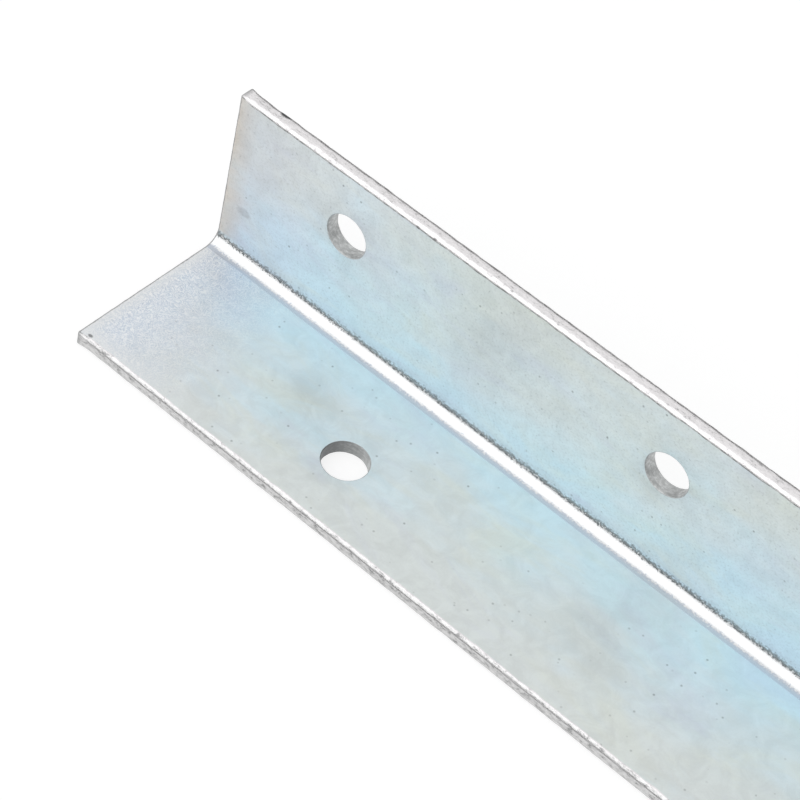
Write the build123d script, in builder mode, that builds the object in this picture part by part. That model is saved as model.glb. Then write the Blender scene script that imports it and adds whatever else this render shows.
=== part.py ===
from build123d import *

import os

# Ground anchor: one length of thin steel angle, cold bent from a flat strip.
# One end is cut square and has the fixing holes, the other is cut to a point.
#
# Frame, in millimetres: the anchor lies on the outer face of one leg, and the other
# leg stands up along its edge at +Y. +X runs from the square end to the point and
# +Z is up. The origin is the middle of its box, at the bottom.

# Strip and bend
length = 500.0          # from the square end to the point
leg_width = 40.0        # of both legs, over the outer faces
thickness = 3.0
bend_radius = 3.0       # inside the bend

# Edges
inner_toe_radius = 0.8  # long edges, on the inside of the angle
outer_toe_radius = 0.4  # long edges, on the outside
cut_edge_radius = 0.3   # square end and point
rim_radius = 0.3        # hole rims, on the side where the punch went in

# Fixing holes: places from the square end, and gauges from the other leg's outer face
hole_diameter = 9.0
upright_hole_places = (28.5, 102.0)
upright_gauge = 26.0
lying_hole_places = (53.0,)
lying_gauge = 25.5

# Point: each leg is cut back along a straight line
point_length = 80.0
point_width = 5.0       # what is left of each leg at the very end

# Places that follow from these
square_end = -length / 2
back = leg_width / 2        # outer face of the upright leg
toe = back - leg_width      # free edge of the lying leg

# Drawing planes: the inner face of each leg, with its own X measured from the square
# end and its own Y from the other leg's outer face, away from it on the upright leg
# and towards minus on the lying leg
upright_face = Plane(origin=(square_end, back - thickness, 0), x_dir=(1, 0, 0), z_dir=(0, -1, 0))
lying_face = Plane(origin=(square_end, back, thickness), x_dir=(1, 0, 0), z_dir=(0, 0, 1))

with BuildPart() as angle_stake:
    # The section follows the strip's outer face round the bend, and is one thickness deep
    with BuildSketch(Plane.YZ.offset(square_end)) as section:
        with BuildLine():
            FilletPolyline((toe, 0), (back, 0), (back, leg_width), radius=bend_radius + thickness)
            offset(amount=thickness, side=Side.LEFT)
        make_face()
        for toe_radius, places in (
            (inner_toe_radius, ((toe, thickness), (back - thickness, leg_width))),
            (outer_toe_radius, ((toe, 0), (back, leg_width))),
        ):
            corners = section.vertices()
            fillet([corners.sort_by_distance(place)[0] for place in places], radius=toe_radius)
    extrude(amount=length)

    # The point: each leg is cut from its free edge to the end, through everything
    for leg_face, side in ((upright_face, 1), (lying_face, -1)):
        with BuildSketch(leg_face):
            with BuildLine():
                Polyline(
                    (length - point_length, side * leg_width),
                    (length, side * point_width),
                    (length + point_length, side * point_width),
                    (length + point_length, side * 2 * leg_width),
                    (length - point_length, side * 2 * leg_width),
                    close=True,
                )
            make_face()
        extrude(amount=leg_width, both=True, mode=Mode.SUBTRACT)

    # The square end and the point were sheared, so all their edges are slightly broken
    flats = angle_stake.faces().filter_by(GeomType.PLANE)
    sheared = flats.filter_by(lambda face: abs(face.normal_at().X) > 0.01)
    fillet(sheared.edges(), radius=cut_edge_radius)

    # Fixing holes, punched from the inside of the angle, which rounds that rim
    for leg_face, places, gauge in (
        (upright_face, upright_hole_places, upright_gauge),
        (lying_face, lying_hole_places, -lying_gauge),
    ):
        with BuildSketch(leg_face):
            with Locations(*[(place, gauge) for place in places]):
                Circle(hole_diameter / 2)
        extrude(amount=-thickness, mode=Mode.SUBTRACT)
        rims = angle_stake.edges(Select.LAST).filter_by(GeomType.CIRCLE)
        inside = Axis(leg_face.origin, leg_face.z_dir)
        fillet(rims.group_by(inside)[-1], radius=rim_radius)

angle_stake.part.label = "angle_stake"
os.makedirs("parts", exist_ok=True)
export_step(angle_stake.part, "parts/angle_stake.step")
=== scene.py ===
from math import cos, pi, radians, sin, tan

import bmesh
import bpy
import numpy as np
from mathutils import Matrix, Vector, geometry


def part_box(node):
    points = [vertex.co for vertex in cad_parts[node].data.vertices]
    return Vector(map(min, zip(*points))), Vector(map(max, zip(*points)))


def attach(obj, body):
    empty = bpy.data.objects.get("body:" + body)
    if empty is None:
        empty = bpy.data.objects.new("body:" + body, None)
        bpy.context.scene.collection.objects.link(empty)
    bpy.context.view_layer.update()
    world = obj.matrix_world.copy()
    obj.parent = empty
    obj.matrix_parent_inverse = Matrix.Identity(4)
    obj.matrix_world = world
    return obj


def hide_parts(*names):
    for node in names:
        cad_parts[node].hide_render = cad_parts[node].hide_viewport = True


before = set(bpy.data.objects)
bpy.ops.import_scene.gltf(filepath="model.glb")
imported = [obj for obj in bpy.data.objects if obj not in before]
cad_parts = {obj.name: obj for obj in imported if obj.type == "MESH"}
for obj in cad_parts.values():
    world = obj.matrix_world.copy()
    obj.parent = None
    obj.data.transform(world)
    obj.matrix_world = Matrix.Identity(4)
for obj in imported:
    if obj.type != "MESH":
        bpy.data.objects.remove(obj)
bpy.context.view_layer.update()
scene = bpy.context.scene


# ---------------------------------------------------------------- the blank
# The anchor starts as a flat strip of 3 mm steel, with what will be the inside facing up.
# Its long edges are rolled, its ends are sheared, one square and one to a point, and its
# three holes are punched. The long edges come out crowned, the other cuts nearly square.

MM = 0.001
stake_low, stake_high = (Vector(corner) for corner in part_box("angle_stake"))
LENGTH = stake_high.x - stake_low.x
LEG = stake_high.z - stake_low.z
THICKNESS = 3.0 * MM
BEND_RADIUS = 3.0 * MM                      # inside the bend
BEND_LENGTH = (BEND_RADIUS + THICKNESS / 2) * pi / 2
FLAT_LEG = LEG - THICKNESS - BEND_RADIUS    # from the bend to the free edge
POINT_LENGTH = 80 * MM
POINT_HALF_WIDTH = 2.5 * MM
CORNER_RADIUS = 0.6 * MM
HOLE_RADIUS = 4.5 * MM

# Across the strip, 0 to BEND_LENGTH is the bend, less is the lying leg, more the upright
HOLE_CENTRES = (
    (28.5 * MM, BEND_LENGTH + 23.0 * MM - BEND_RADIUS),
    (102.0 * MM, BEND_LENGTH + 23.0 * MM - BEND_RADIUS),
    (53.0 * MM, BEND_RADIUS - 22.5 * MM),
)

# How far the rounding of each cut reaches in and down, at the upper face and at the lower
ROLLED = (0.95 * MM, THICKNESS / 2, 0.80 * MM, THICKNESS / 2)
SHEARED = (0.42 * MM, 0.40 * MM, 0.30 * MM, 0.35 * MM)
PUNCHED = (0.15 * MM, 0.17 * MM, 0.13 * MM, 0.15 * MM)
UNEVENNESS = 0.06                           # of each rounding's size
LEAST_FLAT = 0.02 * MM                      # kept between the two halves of a crown
ROLLED_FROM = 3 * MM                        # where a shear's edge has become a rolled one

# How dark the sharp line beside a cut is, at the square end and at a hole
END_CREASE = 0.8
HOLE_CREASE = 0.7

EDGE_STEP = 0.4 * MM
ROW_STEP = 2 * MM
FACE_STEP = 5 * MM
GUARD = 0.12 * MM                           # flat margin inside each rounding
HOLE_POINTS = 96
BEND_STEPS = 14
ROUNDING_STEPS = 8
chance = np.random.default_rng(40)


def uneven(count, smooth):
    """A closed run of numbers that wanders about 1, more slowly when smooth is larger."""
    wave = np.fft.fft(chance.normal(size=count)) * np.fft.fft(np.hanning(smooth + 2), count)
    wave = np.real(np.fft.ifft(wave))
    return 1 + UNEVENNESS * wave / wave.std()


def rounded_outline(corners):
    """Points at equal steps round a closed outline of (x, across, corner radius)."""
    turns = []
    for i, (x, across, radius) in enumerate(corners):
        here = Vector((x, across))
        before = (Vector(corners[i - 1][:2]) - here).normalized()
        after = (Vector(corners[(i + 1) % len(corners)][:2]) - here).normalized()
        half = before.angle(after) / 2
        middle = here + (before + after).normalized() * radius / sin(half)
        spoke = here + before * radius / tan(half) - middle
        sweep = pi - 2 * half
        count = max(3, round(2 * radius * sweep / EDGE_STEP))
        turns += [middle + Matrix.Rotation(sweep * k / count, 2) @ spoke for k in range(count + 1)]
    outline = []
    for here, after in zip(turns, turns[1:] + turns[:1]):
        count = max(1, round((after - here).length / EDGE_STEP))
        outline += [here.lerp(after, k / count) for k in range(count)]
    return np.array(outline)


def cut_edge(outline, sizes):
    """Rings of points round a cut, from the upper face over the edge to the lower face."""
    along = np.roll(outline, -1, 0) - np.roll(outline, 1, 0)
    along /= np.linalg.norm(along, axis=1)[:, None]
    inwards = np.stack([-along[:, 1], along[:, 0]], 1)
    above_in, above_down, below_in, below_up = sizes
    turns = np.linspace(0, pi / 2, ROUNDING_STEPS + 1)
    rings = [(above_in + GUARD, 0 * above_in)]
    rings += [(above_in * (1 - sin(t)), above_down * (1 - cos(t))) for t in turns]
    for share in (0.25, 0.5, 0.75):
        rings.append((0 * above_in, above_down + share * (THICKNESS - below_up - above_down)))
    rings += [(below_in * (1 - sin(t)), THICKNESS - below_up * (1 - cos(t))) for t in turns[::-1]]
    rings.append((below_in + GUARD, THICKNESS + 0 * above_in))
    return [np.column_stack([outline + inwards * inset[:, None], -depth]) for inset, depth in rings]


def inside(outline, x, across):
    """Whether a place lies inside a closed outline."""
    after = np.roll(outline, -1, 0)
    passes = (outline[:, 1] > across) != (after[:, 1] > across)
    here, step = outline[passes], (after - outline)[passes]
    crossings = here[:, 0] + (across - here[:, 1]) / step[:, 1] * step[:, 0]
    return np.sum(crossings > x) % 2 == 1


taper = LENGTH - POINT_LENGTH
strip_outline = rounded_outline((
    (0, -FLAT_LEG, CORNER_RADIUS),
    (taper, -FLAT_LEG, 2 * CORNER_RADIUS),
    (LENGTH, BEND_LENGTH / 2 - POINT_HALF_WIDTH, CORNER_RADIUS),
    (LENGTH, BEND_LENGTH / 2 + POINT_HALF_WIDTH, CORNER_RADIUS),
    (taper, BEND_LENGTH + FLAT_LEG, 2 * CORNER_RADIUS),
    (0, BEND_LENGTH + FLAT_LEG, CORNER_RADIUS),
))
from_end = np.minimum(strip_outline[:, 0], taper - strip_outline[:, 0])
rolled = np.clip(from_end / ROLLED_FROM, 0, 1)
upright = strip_outline[:, 1] > BEND_LENGTH
sizes = [
    (shear + (long - shear) * rolled) * uneven(len(strip_outline), 9)
    for shear, long in zip(SHEARED, ROLLED)]
sizes[1] = np.minimum(sizes[1], THICKNESS / 2 - LEAST_FLAT)
sizes[3] = np.minimum(sizes[3], THICKNESS / 2 - LEAST_FLAT)

# Each cut's rings, and how much of a crease shows at the arris, below it, and at an end
square_end = END_CREASE * (strip_outline[:, 0] < 1 * MM)
cuts = [(cut_edge(strip_outline, sizes), rolled * upright, rolled * ~upright, square_end)]
turn = -2 * pi * np.arange(HOLE_POINTS) / HOLE_POINTS
no_crease, hole_crease = np.zeros(HOLE_POINTS), np.full(HOLE_POINTS, HOLE_CREASE)
for centre in HOLE_CENTRES:
    circle = np.array(centre) + HOLE_RADIUS * np.stack([np.cos(turn), np.sin(turn)], 1)
    sizes = [value * uneven(HOLE_POINTS, 6) for value in PUNCHED]
    cuts.append((cut_edge(circle, sizes), no_crease, no_crease, hole_crease))

points, faces, is_cut, hole_wall, crease = [], [], [], [], []
rims = ([], [])
for rings, at_arris, below_arris, at_end in cuts:
    count = len(rings[0])
    rims[0].append(range(len(points), len(points) + count))
    for k, ring in enumerate(rings):
        start = len(points)
        points += [tuple(point) for point in ring]
        is_cut += [float(1 < k < len(rings) - 2)] * count
        hole_wall += [float(rings is not cuts[0][0])] * count
        crease += list((k in (1, 2)) * at_arris + (k == 6) * below_arris + (k in (1, 2, 3)) * at_end)
        if ring is not rings[-1]:
            for i in range(count):
                after = (i + 1) % count
                faces.append((start + i, start + after, start + count + after, start + count + i))
    rims[1].append(range(start, start + count))

# Both flat faces are filled between the cuts, with rows of points along the bend
rows = np.linspace(0, BEND_LENGTH, BEND_STEPS + 1)
grid = [
    (x, across)
    for x in np.arange(FACE_STEP, LENGTH, FACE_STEP)
    for across in np.arange(FACE_STEP - FLAT_LEG, BEND_LENGTH + FLAT_LEG, FACE_STEP)
    if not -FACE_STEP / 2 < across < BEND_LENGTH + FACE_STEP / 2
]
for face_rims, height in ((rims[0], 0.0), (rims[1], -THICKNESS)):
    border = [i for rim in face_rims for i in rim]
    outlines = [np.array([points[i][:2] for i in rim]) for rim in face_rims]
    strip, holes = outlines[0], outlines[1:]
    taken = np.concatenate(outlines)
    flat = [tuple(place) for place in taken]
    lines = []
    for rim in face_rims:
        start = border.index(rim[0])
        lines += [(start + i, start + (i + 1) % len(rim)) for i in range(len(rim))]
    for row in rows:
        off_row = np.abs(strip[:, 1] - row)
        first = int(np.argmin(off_row + strip[:, 0] / 100))
        last = int(np.argmin(off_row - strip[:, 0] / 100))
        between = np.arange(
            strip[first, 0] + ROW_STEP / 2, strip[last, 0] - ROW_STEP / 2, ROW_STEP)
        run = [first, *range(len(flat), len(flat) + len(between)), last]
        flat += [(x, row) for x in between]
        lines += list(zip(run, run[1:]))
    for x, across in grid:
        clear = np.hypot(taken[:, 0] - x, taken[:, 1] - across).min() > FACE_STEP / 3
        in_hole = any(inside(hole, x, across) for hole in holes)
        if clear and inside(strip, x, across) and not in_hole:
            flat.append((x, across))
    filled = geometry.delaunay_2d_cdt([Vector(place) for place in flat], lines, [], 1, 1e-7)
    places, triangles, sources = filled[0], filled[2], filled[3]
    ids = []
    for place, source in zip(places, sources):
        on_border = [border[i] for i in source if i < len(border)]
        ids.append(on_border[0] if on_border else len(points))
        if not on_border:
            points.append((place.x, place.y, height))
            is_cut.append(0.0)
            hole_wall.append(0.0)
            crease.append(0.0)
    for triangle in triangles:
        middle = sum((places[i] for i in triangle), Vector((0, 0))) / 3
        if not any(inside(hole, *middle) for hole in holes):
            faces.append(tuple(ids[i] for i in triangle))

# How far round the bend each point of the upper face lies
bend_share = [
    min(max(across / BEND_LENGTH, 0), 1) if height > -THICKNESS / 2 else 0
    for _, across, height in points]

blank_mesh = bpy.data.meshes.new("blank")
blank_mesh.from_pydata(points, [], faces)
solid = bmesh.new()
solid.from_mesh(blank_mesh)
bmesh.ops.recalc_face_normals(solid, faces=solid.faces)
solid.to_mesh(blank_mesh)
solid.free()
for name, values in (
    ("is_cut", is_cut), ("hole_wall", hole_wall), ("crease", crease), ("bend_share", bend_share),
):
    blank_mesh.attributes.new(name, "FLOAT", "POINT").data.foreach_set("value", values)
blank_mesh.shade_smooth()
blank = bpy.data.objects.new("blank", blank_mesh)
scene.collection.objects.link(blank)


# ---------------------------------------------------------------- the zinc plate
# Bright zinc electroplate under a clear blue passivate, dipped after cutting. The film is
# thinner than a wavelength of light, so it tints the satin metal in soft clouds, and lilac
# near the square end. It is painted bluer in the angle and pale green and grey towards the
# edges, a painted reflection of each leg in the other.

def add(tree, kind, inputs=(), **settings):
    """Add a node with its settings. An input is a value, a socket or a whole node."""
    node = tree.nodes.new(kind)
    for name, value in settings.items():
        setattr(node, name, value)
    for key, value in dict(inputs).items():
        socket = node.inputs[key] if isinstance(key, int) else next(
            s for s in node.inputs if s.enabled and s.name == key)
        if isinstance(value, bpy.types.Node):
            value = next(s for s in value.outputs if s.enabled)
        if isinstance(value, bpy.types.NodeSocket):
            tree.links.new(value, socket)
        else:
            socket.default_value = value
    return node


def colour_stops(ramp, stops):
    """Set a colour ramp from (position, sRGB hex colour) pairs."""
    elements = ramp.color_ramp.elements
    while len(elements) < len(stops):
        elements.new(1)
    for element, (position, value) in zip(elements, stops):
        element.position = position
        element.color = linear(value)


def linear(hex_colour):
    """The linear colour of an sRGB hex value."""
    channels = [int(hex_colour[i:i + 2], 16) / 255 for i in (1, 3, 5)]
    return (*[c / 12.92 if c <= 0.04045 else ((c + 0.055) / 1.055) ** 2.4 for c in channels], 1)


zinc = bpy.data.materials.new("zinc_electroplate_blue_passivate")
zinc.use_nodes = True
tree = zinc.node_tree
tree.nodes.clear()
place = add(tree, "ShaderNodeTexCoord").outputs["Object"]
axes = add(tree, "ShaderNodeSeparateXYZ", {0: place}).outputs
along_bar = add(tree, "ShaderNodeMapping", {"Vector": place, "Scale": (0.55, 1, 1)})

# How far from the root, 0 in the angle to 1 at the free edges
up_leg = add(tree, "ShaderNodeMapRange", {
    "Value": axes["Z"], "From Min": stake_low.z + THICKNESS, "From Max": stake_high.z})
out_leg = add(tree, "ShaderNodeMapRange", {
    "Value": axes["Y"], "From Min": stake_high.y - THICKNESS, "From Max": stake_low.y})
from_root = add(tree, "ShaderNodeMath", {0: up_leg, 1: out_leg}, operation="MAXIMUM")

clouds = add(tree, "ShaderNodeTexNoise", {
    "Vector": along_bar, "Scale": 1 / (22 * MM), "Detail": 3.5, "Roughness": 0.55, "Distortion": 0.5})
wisps = add(tree, "ShaderNodeTexNoise", {
    "Vector": along_bar, "Scale": 1 / (7 * MM), "Detail": 4.0, "Roughness": 0.6})
clouded = add(tree, "ShaderNodeMath", {0: clouds, 1: 1.25, 2: -0.40}, operation="MULTIPLY_ADD")
wispy = add(tree, "ShaderNodeMath", {0: wisps, 1: 0.5, 2: clouded}, operation="MULTIPLY_ADD")
# Painted reflection: the tint runs from blue near the root to grey at the free edges, for the legs
# reflecting each other; the clouds and wisps are the film's own tone
film_and_painted_reflection = add(tree, "ShaderNodeMath", {0: from_root, 1: 0.55, 2: wispy}, operation="MULTIPLY_ADD")
film_and_reflection_tint = add(tree, "ShaderNodeValToRGB", {"Fac": film_and_painted_reflection})
colour_stops(film_and_reflection_tint, (
    (0.10, "#CEDCE8"), (0.30, "#D0E0E9"), (0.52, "#D1E2E8"), (0.74, "#D6DFE2"), (0.95, "#D7DCDB")))
elsewhere = add(tree, "ShaderNodeMapping", {
    "Vector": place, "Location": (0.3, 0.1, 0.2), "Scale": (0.4, 1, 1)})
patches = add(tree, "ShaderNodeTexNoise", {
    "Vector": elsewhere, "Scale": 1 / (12 * MM), "Detail": 4.0, "Roughness": 0.6,
    "Distortion": 0.8})
cream_share = add(tree, "ShaderNodeMapRange", {
    "Value": patches, "From Min": 0.52, "From Max": 0.70, "To Min": 0.0, "To Max": 0.55})
cream = add(tree, "ShaderNodeMix", {
    "Factor": cream_share, "A": film_and_reflection_tint, "B": linear("#DADDD3")}, data_type="RGBA")
mauve_share = add(tree, "ShaderNodeMapRange", {
    "Value": patches, "From Min": 0.46, "From Max": 0.30, "To Min": 0.0, "To Max": 0.45})
film_and_reflection_tint = add(tree, "ShaderNodeMix", {
    "Factor": mauve_share, "A": cream, "B": linear("#CCD0DD")}, data_type="RGBA")

# The square end hung lowest in the bath: its film is lilac and grey, and straw at the cut
near_end = add(tree, "ShaderNodeMapRange", {
    "Value": axes["X"], "From Min": stake_low.x, "From Max": stake_low.x + 20 * MM,
    "To Min": 1.1, "To Max": 0.0})
end_film = add(
    tree, "ShaderNodeMath", {0: near_end, 1: wisps}, operation="MULTIPLY", use_clamp=True)
lilac = add(tree, "ShaderNodeMix", {
    "Factor": end_film, "A": film_and_reflection_tint, "B": linear("#C0C7D5")}, data_type="RGBA")
at_end = add(tree, "ShaderNodeMapRange", {
    "Value": axes["X"], "From Min": stake_low.x, "From Max": stake_low.x + 6 * MM,
    "To Min": 1.6, "To Max": -0.2})
straw_share = add(
    tree, "ShaderNodeMath", {0: at_end, 1: wisps}, operation="MULTIPLY", use_clamp=True)
straw = add(tree, "ShaderNodeMix", {
    "Factor": straw_share, "A": lilac, "B": linear("#CFC9C0")}, data_type="RGBA")

# Rolling left faint streaks along the strip, and the plate has a fine crystal grain
streaks = add(tree, "ShaderNodeTexNoise", {
    "Vector": add(tree, "ShaderNodeMapping", {"Vector": place, "Scale": (0.08, 1, 1)}),
    "Scale": 1 / (2.8 * MM), "Detail": 4.0})
grain = add(tree, "ShaderNodeTexNoise", {"Vector": place, "Scale": 1 / (0.45 * MM), "Detail": 3.0})
mottle = add(tree, "ShaderNodeTexNoise", {
    "Vector": place, "Scale": 1 / (4.5 * MM), "Detail": 5.0, "Roughness": 0.62, "Distortion": 0.8})
texture = add(tree, "ShaderNodeMath", {0: streaks, 1: 0.5}, operation="MULTIPLY")
texture = add(tree, "ShaderNodeMath", {0: grain, 1: 0.35, 2: texture}, operation="MULTIPLY_ADD")
texture = add(tree, "ShaderNodeMath", {0: mottle, 1: 2.0, 2: texture}, operation="MULTIPLY_ADD")
shade = add(tree, "ShaderNodeMapRange", {
    "Value": texture, "From Min": 1.12, "From Max": 1.72, "To Min": 0.93, "To Max": 1.05})

# Specks of dirt in the bath left pits, one every few millimetres
pits = add(tree, "ShaderNodeTexVoronoi", {"Vector": place, "Scale": 1 / (2.2 * MM)})
pitted = add(tree, "ShaderNodeMapRange", {
    "Value": pits.outputs["Distance"], "From Min": 0.05, "From Max": 0.14,
    "To Min": 1.0, "To Max": 0.0})
chosen = add(tree, "ShaderNodeSeparateColor", {"Color": pits.outputs["Color"]}).outputs["Red"]
chosen = add(tree, "ShaderNodeMapRange", {
    "Value": chosen, "From Min": 0.4, "From Max": 1.0, "To Min": 0.0, "To Max": 0.5})
pit = add(tree, "ShaderNodeMath", {0: pitted, 1: chosen}, operation="MULTIPLY")
shade = add(tree, "ShaderNodeMath", {0: shade, 1: pit}, operation="SUBTRACT")
film_and_painted_light = add(tree, "ShaderNodeVectorMath", {0: straw, "Scale": shade}, operation="SCALE")

# The lying leg's corner touched the tank, and its plate grew in coarse crinkled crystals,
# with painted highlights: the near-white bands are painted glints on their ridges
corner = add(tree, "ShaderNodeMapRange", {
    "Value": axes["X"], "From Min": stake_low.x + 4 * MM, "From Max": stake_low.x + 26 * MM,
    "To Min": 1.0, "To Max": 0.0})
lying = add(tree, "ShaderNodeMapRange", {
    "Value": axes["Z"], "From Min": stake_low.z + THICKNESS,
    "From Max": stake_low.z + 2 * THICKNESS, "To Min": 1.0, "To Max": 0.0})
crinkled = add(tree, "ShaderNodeMath", {0: corner, 1: lying}, operation="MULTIPLY")
crystals = add(tree, "ShaderNodeTexNoise", {
    "Vector": place, "Scale": 1 / (1.3 * MM), "Detail": 4.0, "Roughness": 0.6, "Distortion": 0.6})
crystals_and_painted_glints = add(tree, "ShaderNodeValToRGB", {"Fac": crystals})
# Painted highlights: the near-white stops paint glints among the bluer crystal stops
colour_stops(crystals_and_painted_glints, (
    (0.28, "#F2F5F7"), (0.34, "#AEBED0"), (0.40, "#F8FAFB"), (0.45, "#BFCCDB"),
    (0.50, "#D8DFE8"), (0.54, "#FAFBFC"), (0.59, "#B3C1D3"), (0.65, "#F0F3F5"),
    (0.72, "#BCCADA")))
crystal_share = add(tree, "ShaderNodeMath", {0: crinkled, 1: 0.75}, operation="MULTIPLY")
film_and_painted_light = add(tree, "ShaderNodeMix", {
    "Factor": crystal_share, "A": film_and_painted_light, "B": crystals_and_painted_glints}, data_type="RGBA")

# The film is thin along that corner's two edges, where the plate shows almost white
by_side = add(tree, "ShaderNodeMapRange", {
    "Value": axes["Y"], "From Min": stake_low.y + 1.5 * MM, "From Max": stake_low.y + 5 * MM,
    "To Min": 1.0, "To Max": 0.0})
by_end = add(tree, "ShaderNodeMapRange", {
    "Value": axes["X"], "From Min": stake_low.x + 0.5 * MM, "From Max": stake_low.x + 3 * MM,
    "To Min": 1.0, "To Max": 0.0})
by_edge = add(tree, "ShaderNodeMath", {0: by_side, 1: by_end}, operation="MAXIMUM")
by_edge = add(tree, "ShaderNodeMath", {0: by_edge, 1: crinkled}, operation="MULTIPLY")
by_edge = add(tree, "ShaderNodeMath", {0: by_edge, 1: 0.6}, operation="MULTIPLY")
film_and_painted_light = add(tree, "ShaderNodeMix", {
    "Factor": by_edge, "A": film_and_painted_light, "B": linear("#E4E5E4")}, data_type="RGBA")

# Bending rubbed the film off the root. Along its upright side a dark ragged line is painted:
# partly wrinkles in the plate, partly a painted reflection of the dark front of the studio
share = add(tree, "ShaderNodeAttribute", attribute_name="bend_share").outputs["Fac"]
drawn = add(tree, "ShaderNodeTexNoise", {
    "Vector": add(tree, "ShaderNodeMapping", {"Vector": place, "Scale": (0.35, 1, 1)}),
    "Scale": 1 / (0.25 * MM), "Detail": 3.0, "Roughness": 0.8})
ragged = add(tree, "ShaderNodeMath", {0: drawn, 1: grain}, operation="ADD")
ragged = add(tree, "ShaderNodeMath", {0: ragged, 1: 1.0}, operation="SUBTRACT")
ragged = add(tree, "ShaderNodeMath", {0: ragged, 1: 0.42, 2: share}, operation="MULTIPLY_ADD")
rubbed = add(tree, "ShaderNodeValToRGB", {"Fac": ragged})
colour_stops(rubbed, (
    (0.00, "#BEC4CD"), (0.20, "#BEC4CD"), (0.25, "#DADBDC"), (0.70, "#DADBDC"), (0.90, "#CBD9E1")))
in_root = add(tree, "ShaderNodeValToRGB", {"Fac": share})
colour_stops(in_root, (
    (0.00, "#000000"), (0.03, "#FFFFFF"), (0.85, "#FFFFFF"), (1.00, "#000000")))
root = add(tree, "ShaderNodeMix", {
    "Factor": in_root, "A": film_and_painted_light, "B": rubbed}, data_type="RGBA")
# Painted reflection: the dark line stands in for the dark front reflected at the start of the bend,
# broken up by wrinkles
wrinkles_and_dark_reflection = add(tree, "ShaderNodeValToRGB", {"Fac": ragged})
colour_stops(wrinkles_and_dark_reflection, (
    (0.70, "#000000"), (0.73, "#F0F0F0"), (0.82, "#D0D0D0"), (0.90, "#606060"), (1.00, "#000000")))
root = add(tree, "ShaderNodeMix", {
    "Factor": wrinkles_and_dark_reflection, "A": root, "B": linear("#5A6060")}, data_type="RGBA")

# Cut edges carry the thickest plate, pale and granular, with dark specks along the arris
cut = add(tree, "ShaderNodeAttribute", attribute_name="is_cut").outputs["Fac"]
drag = add(tree, "ShaderNodeTexNoise", {
    "Vector": add(tree, "ShaderNodeMapping", {"Vector": place, "Scale": (0.5, 1, 1)}),
    "Scale": 1 / (0.6 * MM), "Detail": 4.0, "Roughness": 0.7})
cut_tint = add(tree, "ShaderNodeValToRGB", {"Fac": drag})
colour_stops(cut_tint, ((0.30, "#ADACAD"), (0.42, "#DBD9DA"), (0.62, "#E8E6E7")))
# Painted reflection: the lying leg's cut face is painted darker grey for the floor in front of it; its
# specks are the cut's own grain
lying_edge_dark_reflection = add(tree, "ShaderNodeMapRange", {
    "Value": axes["Y"], "From Min": stake_low.y + 0.3 * MM, "From Max": stake_low.y + 0.8 * MM,
    "To Min": 0.85, "To Max": 0.0})
lying_edge_dark_reflection_tint = add(tree, "ShaderNodeValToRGB", {"Fac": drag})
colour_stops(lying_edge_dark_reflection_tint, ((0.36, "#8A8B8B"), (0.45, "#BEBEBE"), (0.60, "#D2D2D2")))
cut_tint = add(tree, "ShaderNodeMix", {
    "Factor": lying_edge_dark_reflection, "A": cut_tint, "B": lying_edge_dark_reflection_tint}, data_type="RGBA")
at_corner = add(tree, "ShaderNodeMapRange", {
    "Value": axes["X"], "From Min": stake_low.x + 0.4 * MM, "From Max": stake_low.x + 1.3 * MM,
    "To Min": 0.6, "To Max": 0.0})
cut_tint = add(tree, "ShaderNodeMix", {
    "Factor": at_corner, "A": cut_tint, "B": linear("#8A8B8B")}, data_type="RGBA")

# Painted shade inside the holes: their walls are painted darker grey over the punch's grain,
# and the lying leg's hole darker still towards the square end, a painted shade from the floor
punched = add(tree, "ShaderNodeAttribute", attribute_name="hole_wall").outputs["Fac"]
hole_grain_and_shade = add(tree, "ShaderNodeValToRGB", {"Fac": drag})
colour_stops(hole_grain_and_shade, ((0.34, "#ACAEAE"), (0.50, "#BEC0C0"), (0.64, "#D6D8D8")))
lying_hole = stake_low.x + HOLE_CENTRES[2][0]
# Painted shade: darkest on the square end's side of the lying leg's hole
lying_hole_shade = add(tree, "ShaderNodeMapRange", {
    "Value": axes["X"], "From Min": lying_hole - HOLE_RADIUS,
    "From Max": lying_hole + 0.6 * HOLE_RADIUS, "To Min": 0.85, "To Max": 0.0})
lying_hole_shade = add(tree, "ShaderNodeMath", {0: lying_hole_shade, 1: lying}, operation="MULTIPLY")
hole_grain_and_shade = add(tree, "ShaderNodeMix", {
    "Factor": lying_hole_shade, "A": hole_grain_and_shade, "B": linear("#6A6C6D")}, data_type="RGBA")
cut_tint = add(tree, "ShaderNodeMix", {
    "Factor": punched, "A": cut_tint, "B": hole_grain_and_shade}, data_type="RGBA")
arris = add(tree, "ShaderNodeAttribute", attribute_name="crease").outputs["Fac"]
arris_share = add(tree, "ShaderNodeMath", {0: arris, 1: drag}, operation="MULTIPLY")
arris_mask = add(tree, "ShaderNodeMapRange", {
    "Value": arris_share, "From Min": 0.28, "From Max": 0.58, "To Min": 0.0, "To Max": 0.85})
plated = add(tree, "ShaderNodeMix", {"Factor": cut, "A": root, "B": cut_tint}, data_type="RGBA")
plated = add(tree, "ShaderNodeMix", {
    "Factor": arris_mask, "A": plated, "B": linear("#6A6C6C")}, data_type="RGBA")

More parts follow.
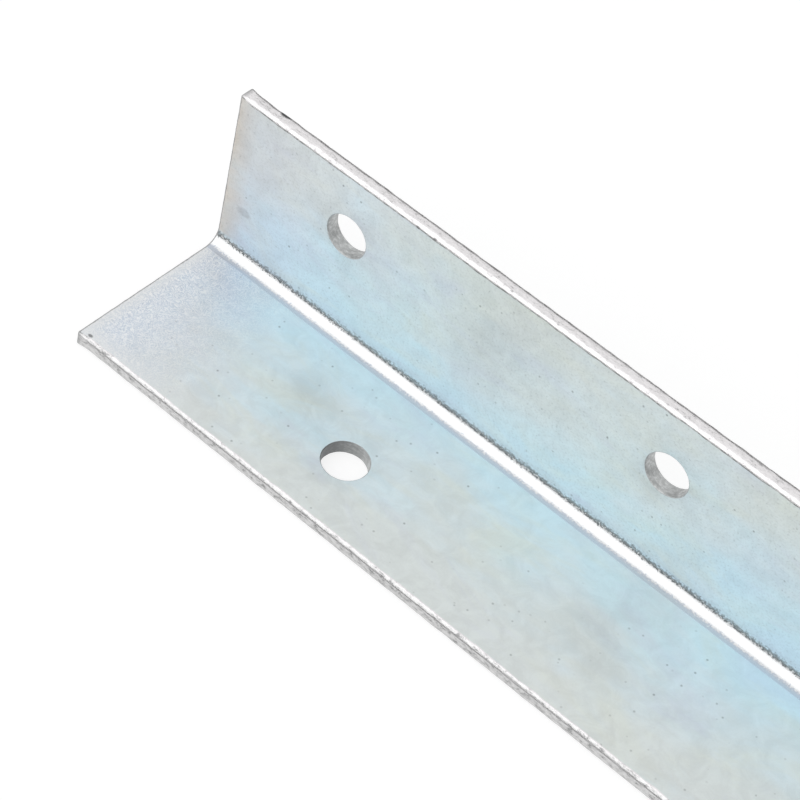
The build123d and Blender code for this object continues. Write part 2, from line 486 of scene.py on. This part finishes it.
# Small dark marks, with x from the square end, y, z and radius in mm, and how dark each is
MARKS = (
    (8.9, 19.3, 39.8, 0.90, 0.90),      # where the plating rack held it
    (2.3, -18.8, 3.0, 0.40, 0.70),      # pit in the lying leg's corner
    (5.2, 17.0, 14.0, 1.20, 0.18),      # smudge
    (42.5, 17.0, 39.2, 0.28, 0.60),     # two knocks on the upright leg's arris
    (46.3, 17.0, 39.3, 0.32, 0.60),
    (24.6, 18.3, 28.2, 0.85, 0.75),     # painted dark reflection in the first hole's wall
)
for x, y, z, radius, strength in MARKS:
    nearby = add(tree, "ShaderNodeVectorMath", {
        0: place, 1: (stake_low.x + x * MM, y * MM, z * MM)}, operation="SUBTRACT")
    nearby = add(tree, "ShaderNodeVectorMath", {0: nearby, 1: (0.6, 1.0, 1.0)}, operation="MULTIPLY")
    distance = add(tree, "ShaderNodeVectorMath", {0: nearby}, operation="LENGTH").outputs["Value"]
    distance = add(
        tree, "ShaderNodeMath", {0: drag, 1: radius * MM, 2: distance}, operation="MULTIPLY_ADD")
    mark = add(tree, "ShaderNodeMapRange", {
        "Value": distance, "From Min": 1.1 * radius * MM, "From Max": 1.5 * radius * MM,
        "To Min": strength, "To Max": 0.0})
    plated = add(tree, "ShaderNodeMix", {
        "Factor": mark, "A": plated, "B": linear("#4A4C4D")}, data_type="RGBA")

# Satin on the faces, brighter where the bend and the cuts were worked, dull in the holes
face_roughness = add(tree, "ShaderNodeMapRange", {
    "Value": texture, "From Min": 1.12, "From Max": 1.72, "To Min": 0.31, "To Max": 0.40})
worked = add(tree, "ShaderNodeMath", {0: in_root, 1: cut}, operation="MAXIMUM")
roughness = add(tree, "ShaderNodeMix", {"Factor": worked, "A": face_roughness, "B": 0.27})
roughness = add(tree, "ShaderNodeMix", {"Factor": punched, "A": roughness, "B": 0.5})
crystal_height = add(tree, "ShaderNodeMath", {0: crystals, 1: crinkled}, operation="MULTIPLY")
height = add(tree, "ShaderNodeMath", {0: crystal_height, 1: 2.0, 2: texture}, operation="MULTIPLY_ADD")
relief = add(tree, "ShaderNodeBump", {"Height": height, "Strength": 0.5, "Distance": 0.05 * MM})
plate = add(tree, "ShaderNodeBsdfPrincipled", {
    "Base Color": plated, "Metallic": 1.0, "Roughness": roughness, "Normal": relief})
add(tree, "ShaderNodeOutputMaterial", {"Surface": plate})


# ---------------------------------------------------------------- the bend
# The strip is bent cold to a right angle: it wraps round the tool's nose, and both legs
# stay flat. Its cuts keep the fine unevenness that the blade and punch left.

bend = bpy.data.node_groups.new("bend_strip", "GeometryNodeTree")
bend.interface.new_socket("Geometry", in_out="OUTPUT", socket_type="NodeSocketGeometry")
bend.interface.new_socket("Geometry", in_out="INPUT", socket_type="NodeSocketGeometry")
settings = {}
for name, kind, value in (
    ("Bend radius", "NodeSocketFloat", BEND_RADIUS),
    ("Bend length", "NodeSocketFloat", BEND_LENGTH),
    ("Bend centre", "NodeSocketVector", (
        stake_low.x,
        stake_high.y - THICKNESS - BEND_RADIUS,
        stake_low.z + THICKNESS + BEND_RADIUS)),
    ("Unevenness", "NodeSocketFloat", 0.14 * MM),
    ("Tear size", "NodeSocketFloat", 0.8 * MM),
    ("Seed", "NodeSocketFloat", 7.0),
    ("Finish", "NodeSocketMaterial", zinc),
):
    socket = bend.interface.new_socket(name, in_out="INPUT", socket_type=kind)
    settings[socket.identifier] = value
given = add(bend, "NodeGroupInput").outputs
position = add(bend, "GeometryNodeInputPosition")
normal = add(bend, "GeometryNodeInputNormal")

tear_detail = add(bend, "ShaderNodeMath", {0: 1.0, 1: given["Tear size"]}, operation="DIVIDE")
drawn_out = add(
    bend, "ShaderNodeVectorMath", {0: position, 1: (0.45, 1.0, 1.0)}, operation="MULTIPLY")
tear = add(bend, "ShaderNodeTexNoise", {
    "Vector": drawn_out, "W": given["Seed"], "Scale": tear_detail, "Detail": 3.0},
    noise_dimensions="4D")
where_cut = add(bend, "GeometryNodeInputNamedAttribute", {"Name": "is_cut"})
depth = add(bend, "ShaderNodeMath", {0: where_cut, 1: given["Unevenness"]}, operation="MULTIPLY")
centred = add(bend, "ShaderNodeMath", {0: tear, 1: 0.5}, operation="SUBTRACT")
lift = add(bend, "ShaderNodeMath", {0: centred, 1: depth}, operation="MULTIPLY")
offset = add(bend, "ShaderNodeVectorMath", {0: normal, "Scale": lift}, operation="SCALE")
torn = add(bend, "GeometryNodeSetPosition", {"Geometry": given["Geometry"], "Offset": offset})

strip_axes = add(bend, "ShaderNodeSeparateXYZ", {0: position}).outputs
in_bend = add(bend, "ShaderNodeClamp", {
    "Value": strip_axes["Y"], "Min": 0.0, "Max": given["Bend length"]})
past_bend = add(bend, "ShaderNodeMath", {0: strip_axes["Y"], 1: in_bend}, operation="SUBTRACT")
share = add(bend, "ShaderNodeMath", {0: in_bend, 1: given["Bend length"]}, operation="DIVIDE")
turn = add(bend, "ShaderNodeMath", {0: share, 1: pi / 2}, operation="MULTIPLY")
below = add(bend, "ShaderNodeMath", {0: strip_axes["Z"], 1: given["Bend radius"]}, operation="SUBTRACT")
unbent = add(bend, "ShaderNodeCombineXYZ", {"X": strip_axes["X"], "Y": past_bend, "Z": below})
turned = add(
    bend, "ShaderNodeVectorRotate", {"Vector": unbent, "Angle": turn}, rotation_type="X_AXIS")
bent = add(bend, "ShaderNodeVectorMath", {0: turned, 1: given["Bend centre"]}, operation="ADD")
angled = add(bend, "GeometryNodeSetPosition", {"Geometry": torn, "Position": bent})
realized = add(bend, "GeometryNodeRealizeInstances", {"Geometry": angled})
plated_angle = add(bend, "GeometryNodeSetMaterial", {
    "Geometry": realized, "Material": given["Finish"]})
add(bend, "NodeGroupOutput", {"Geometry": plated_angle})

press = blank.modifiers.new("press_brake", "NODES")
press.node_group = bend
for identifier, value in settings.items():
    press[identifier] = value
pressed = blank.evaluated_get(bpy.context.evaluated_depsgraph_get())
angle_mesh = bpy.data.meshes.new_from_object(pressed)
angle_mesh.name = "zinc_plated_angle"
blank.modifiers.remove(press)
bpy.data.objects.remove(blank)
angle = bpy.data.objects.new("zinc_plated_angle", angle_mesh)
scene.collection.objects.link(angle)
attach(angle, "root")
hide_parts("angle_stake")


# ---------------------------------------------------------------- floor and light
# The anchor lies on a white table in a white studio, with one large soft light in front.
# Two long grey cards stand low down, one in front and one behind, and draw its dark lines.

FLOOR_GLOW = 0.75                       # what makes the floor look white
FLOOR_REACH = 0.85                      # the cards stand beyond it, so they shade nothing
CARD_REACH = 1.6
CARDS = (                       # name, place, height, colour
    ("front_card", -1.0, 0.13, "#303030"),
    ("rear_card", 1.0, 0.42, "#747474"),
)
LIGHT_DIRECTION = Vector((-0.27, -0.745, 0.61))
LIGHT_AIM = Vector((-0.15, 0, 0))
LIGHT_DISTANCE = 1.3
LIGHT_WIDTH = 1.6
LIGHT_SPAN = radians(76)                # how much of the view from the anchor it fills, upwards
LIGHT_RADIANCE = 0.52

floor_mesh = bpy.data.meshes.new("floor")
corners = ((-1, -1), (1, -1), (1, 1), (-1, 1))
floor_mesh.from_pydata(
    [(x * FLOOR_REACH, y * FLOOR_REACH, stake_low.z) for x, y in corners], [], [(0, 1, 2, 3)])
floor = bpy.data.objects.new("floor", floor_mesh)
scene.collection.objects.link(floor)
paper = bpy.data.materials.new("white_paper")
paper.use_nodes = True
tree = paper.node_tree
tree.nodes.clear()
rays = add(tree, "ShaderNodeLightPath").outputs
seen = add(tree, "ShaderNodeMath", {
    0: rays["Is Camera Ray"], 1: rays["Is Glossy Ray"]}, operation="MAXIMUM")
seen = add(tree, "ShaderNodeMath", {0: seen, 1: rays["Is Transmission Ray"]}, operation="MAXIMUM")
strength = add(tree, "ShaderNodeMath", {0: seen, 1: FLOOR_GLOW}, operation="MULTIPLY")
lit = add(tree, "ShaderNodeBsdfDiffuse", {"Color": linear("#A0A0A0")})
glow = add(tree, "ShaderNodeEmission", {"Strength": strength})
surface = add(tree, "ShaderNodeAddShader", {0: lit, 1: glow})
add(tree, "ShaderNodeOutputMaterial", {"Surface": surface})
floor_mesh.materials.append(paper)

for name, across, card_height, card_colour in CARDS:
    card_mesh = bpy.data.meshes.new(name)
    corners = ((-1, 0), (1, 0), (1, 1), (-1, 1))
    card_mesh.from_pydata(
        [(x * CARD_REACH, across, stake_low.z + z * card_height) for x, z in corners],
        [], [(0, 1, 2, 3)])
    board = bpy.data.materials.new(name + "_board")
    board.use_nodes = True
    tree = board.node_tree
    tree.nodes.clear()
    matt = add(tree, "ShaderNodeBsdfDiffuse", {"Color": linear(card_colour)})
    add(tree, "ShaderNodeOutputMaterial", {"Surface": matt})
    card_mesh.materials.append(board)
    card = bpy.data.objects.new(name, card_mesh)
    scene.collection.objects.link(card)
    card.visible_camera = False

world = bpy.data.worlds.new("studio")
scene.world = world
world.use_nodes = True
tree = world.node_tree
tree.nodes.clear()
rays = add(tree, "ShaderNodeLightPath").outputs
seen = add(tree, "ShaderNodeMath", {
    0: rays["Is Camera Ray"], 1: rays["Is Glossy Ray"]}, operation="MAXIMUM")
seen = add(tree, "ShaderNodeMath", {0: seen, 1: rays["Is Transmission Ray"]}, operation="MAXIMUM")
background = add(tree, "ShaderNodeMix", {
    "Factor": seen, "A": linear("#D8D8D8"), "B": (1, 1, 1, 1)}, data_type="RGBA")
studio = add(tree, "ShaderNodeBackground", {"Color": background})
add(tree, "ShaderNodeOutputWorld", {"Surface": studio})

light = bpy.data.lights.new("front_softbox", "AREA")
light.shape = "RECTANGLE"
light.size = LIGHT_WIDTH
light.size_y = 2 * LIGHT_DISTANCE * tan(LIGHT_SPAN / 2)
light.energy = LIGHT_RADIANCE * pi * light.size * light.size_y
softbox = bpy.data.objects.new("front_softbox", light)
scene.collection.objects.link(softbox)
softbox.location = LIGHT_AIM + LIGHT_DIRECTION.normalized() * LIGHT_DISTANCE
softbox.rotation_euler = LIGHT_DIRECTION.to_track_quat("Z", "Y").to_euler()


# ---------------------------------------------------------------- camera
# It looks down into the angle near its square end, from the side of the lying leg, and
# is rolled so that the bar runs down to the right and out of view.

view_right = Vector((0.74874, 0.63965, 0.17390))
view_forward = Vector((-0.33265, 0.58950, -0.73610))
view_up = view_right.cross(view_forward)
inner_corner = Vector((stake_low.x, stake_high.y - THICKNESS, stake_low.z + THICKNESS))
camera_place = inner_corner + Vector((206.16, -280.54, 345.37)) * MM
camera_data = bpy.data.cameras.new("camera")
camera_data.sensor_width = 36
camera_data.lens = 115.66
camera_data.clip_start = 0.01
camera = bpy.data.objects.new("camera", camera_data)
scene.collection.objects.link(camera)
facing = Matrix((view_right, view_up, -view_forward)).transposed().to_4x4()
camera.matrix_world = Matrix.Translation(camera_place) @ facing
scene.camera = camera
scene.view_settings.view_transform = "Standard"
